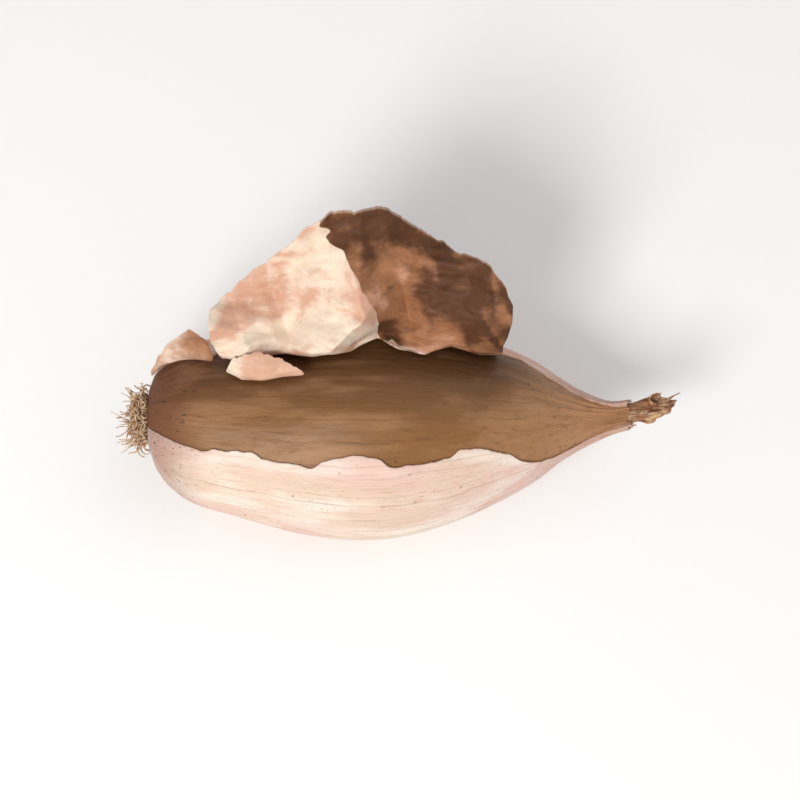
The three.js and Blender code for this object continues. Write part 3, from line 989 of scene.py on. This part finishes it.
def torn_skin_material(name, pale_to, pink_span=(0.6, 1.3), dark=AGED_AND_SHADED_BROWN, light=AGED_TAN):
    """Dry skin that has come away: pale inside up to a torn line, aged beyond it, and rosy outside, with
    panels of painted shade inside.
    """
    r = Recipe(name)
    place_mm = r.place()
    x, y = r.split(place_mm)[0:2]
    across = r.split(r.uv("sheet"))[1]
    outer = r.attribute("outer")
    fibre_space = r.stretch(place_mm, (0.12, 1, 1))
    mottle = r.noise(place_mm, 0.45, 4, 0.62)
    patches = r.noise(place_mm, 0.15, 2)
    threads = r.noise(fibre_space, 3, 4, 0.65)

    # Painted shade: panels painted lighter and darker as lit and shaded facets, tan and brown beyond the
    # torn line, pale and pink inside it
    panel_shading = r.attribute("panel_shade")
    cloudy = r.maths("MULTIPLY", r.noise(r.stretch(place_mm, (0.4, 1, 1)), 0.5, 5, 0.6), 1.6)
    shade_and_mottle = r.maths("ADD", panel_shading, cloudy)
    pale = r.mix(r.span(shade_and_mottle, *pink_span, 0, 0.85), PALE_INSIDE, PINK_INSIDE)
    pale = r.mix(r.span(threads, 0.5, 0.8, 0, 0.3), pale, AGED_TAN)
    aged_and_shaded = r.mix(r.span(shade_and_mottle, 0.4, 1.2), dark, light)
    # The lightest panels of the aged part turn pink: a painted highlight
    aged_and_shaded = r.mix(r.span(shade_and_mottle, 1.3, 1.7, 0, 0.6), aged_and_shaded, PINK_INSIDE)
    aged_and_shaded = r.mix(r.span(threads, 0.42, 0.8, 0, 0.35), aged_and_shaded, dark)
    slanting = r.maths("ADD", x, r.maths("MULTIPLY", y, 0.68))
    torn_line = r.maths("ADD", slanting, r.maths("MULTIPLY", r.noise(place_mm, 0.24, 1.5, 0.4), 4.4))
    beyond = r.span(torn_line, pale_to, pale_to + 0.2)
    inside = r.mix(beyond, pale, aged_and_shaded)

    outside = r.mix(r.span(patches, 0.4, 0.6), ROSE, TAN)
    outside = r.mix(r.span(threads, 0.45, 0.75, 0, 0.6), outside, COPPER)
    outside = r.mix(r.span(mottle, 0.5, 0.7, 0, 0.5), outside, DRY_LEAF)
    colour = r.mix(outer, inside, outside)
    rim = r.span(across, 0.988, 0.998, 0, 0.4)
    colour = r.mix(rim, colour, TAN)
    spots = r.maths("MULTIPLY", r.span(r.spots(place_mm, 0.8), 0.14, 0.05), r.span(patches, 0.5, 0.65))
    colour = r.mix(r.maths("MULTIPLY", spots, 0.6), colour, BROWN)

    normal = r.bump(threads, 0.05)
    normal = r.bump(mottle, 0.025, normal)
    normal = r.bump(beyond, 0.12, normal)
    roughness = r.span(beyond, 0, 1, 0.46, 0.6)
    return r.finish(
        colour, roughness, normal, Subsurface_Weight=0.1, Subsurface_Scale=0.0006, Specular_IOR_Level=0.26
    )


def sheath_material():
    r = Recipe("dry_sheath")
    place_mm = r.place()
    threads = r.noise(r.stretch(place_mm, (0.15, 1, 1)), 3.0, 4, 0.65)
    mottle = r.noise(place_mm, 0.6, 3)
    colour = r.mix(r.span(mottle, 0.42, 0.66), DRY_LEAF, DRY_TAN)
    colour = r.mix(r.span(threads, 0.42, 0.66, 0, 0.85), colour, BROWN)
    return r.finish(colour, 0.62, r.bump(threads, 0.12), Subsurface_Weight=0.1, Subsurface_Scale=0.001)


def root_material(name, light, dark):
    r = Recipe(name)
    place_mm = r.place()
    mottle = r.noise(place_mm, 1.4, 3)
    colour = r.mix(r.span(mottle, 0.38, 0.64), light, dark)
    return r.finish(colour, 0.8, r.bump(r.noise(place_mm, 5, 3), 0.06))


def stage_material(name, colour):
    r = Recipe(name)
    return r.finish(colour, 0.9)


# Camera, light and floor

def make_camera():
    lo, hi = cad_box
    aim = Vector(((lo.x + hi.x) / 2, (lo.y + hi.y) / 2, 0.4 * hi.z))
    distance = FRAME_WIDTH * LENS_MM / SENSOR_MM
    back = Vector((0, -math.cos(VIEW_ELEVATION), math.sin(VIEW_ELEVATION)))
    data = bpy.data.cameras.new("camera")
    data.lens = LENS_MM
    data.sensor_width = SENSOR_MM
    data.clip_start = 0.01
    camera = bpy.data.objects.new("camera", data)
    camera.location = aim + back * distance
    camera.rotation_euler = (-back).to_track_quat("-Z", "Y").to_euler()
    bpy.context.scene.collection.objects.link(camera)
    bpy.context.scene.camera = camera


def make_lamp(name, position, size, watts, colour=(1, 1, 1)):
    data = bpy.data.lights.new(name, "AREA")
    data.size = size
    data.energy = watts
    data.color = colour
    lamp = bpy.data.objects.new(name, data)
    lamp.location = position
    lamp.rotation_euler = (-Vector(position)).to_track_quat("-Z", "Y").to_euler()
    bpy.context.scene.collection.objects.link(lamp)


def make_studio():
    make_lamp("key", KEY_PLACE, 0.2, 2.2, (1, 0.975, 0.94))
    make_lamp("fill", FILL_PLACE, 0.6, 0.5)
    world = bpy.data.worlds.new("studio")
    world.use_nodes = True
    background = world.node_tree.nodes["Background"]
    background.inputs["Color"].default_value = (1, 1, 1, 1)
    background.inputs["Strength"].default_value = 0.54
    bpy.context.scene.world = world


def make_floor():
    bm = bmesh.new()
    bmesh.ops.create_grid(bm, x_segments=1, y_segments=1, size=FLOOR_SIZE)
    mesh = bpy.data.meshes.new("floor")
    bm.to_mesh(mesh)
    bm.free()
    mesh.materials.append(stage_material("floor", (0.9, 0.9, 0.9, 1)))
    floor = bpy.data.objects.new("floor", mesh)
    bpy.context.scene.collection.objects.link(floor)


make_camera()
make_studio()
make_floor()
bpy.context.scene.view_settings.view_transform = "Standard"
make_bulb(skin_material())
make_torn_sheet("large_torn_skin", PEELED_SKIN, torn_skin_material("torn_skin", 11.2), "peeled_skin")
make_torn_sheet(
    "root_end_flake",
    ROOT_SKIN_FLAKE,
    torn_skin_material("flake_skin", -60, (0.6, 1.3), AGED_TAN, TAN),
    "root_skin_flake",
)
make_torn_sheet("torn_lip", SKIN_LIP, torn_skin_material("lip_skin", 60, (0.4, 1.05)), "skin_lip")
make_dry_neck(sheath_material())
make_root_plate(root_material("root_plate", BROWN, SOIL))
make_roots(root_material("roots", STRAW, DARK_STRAW))
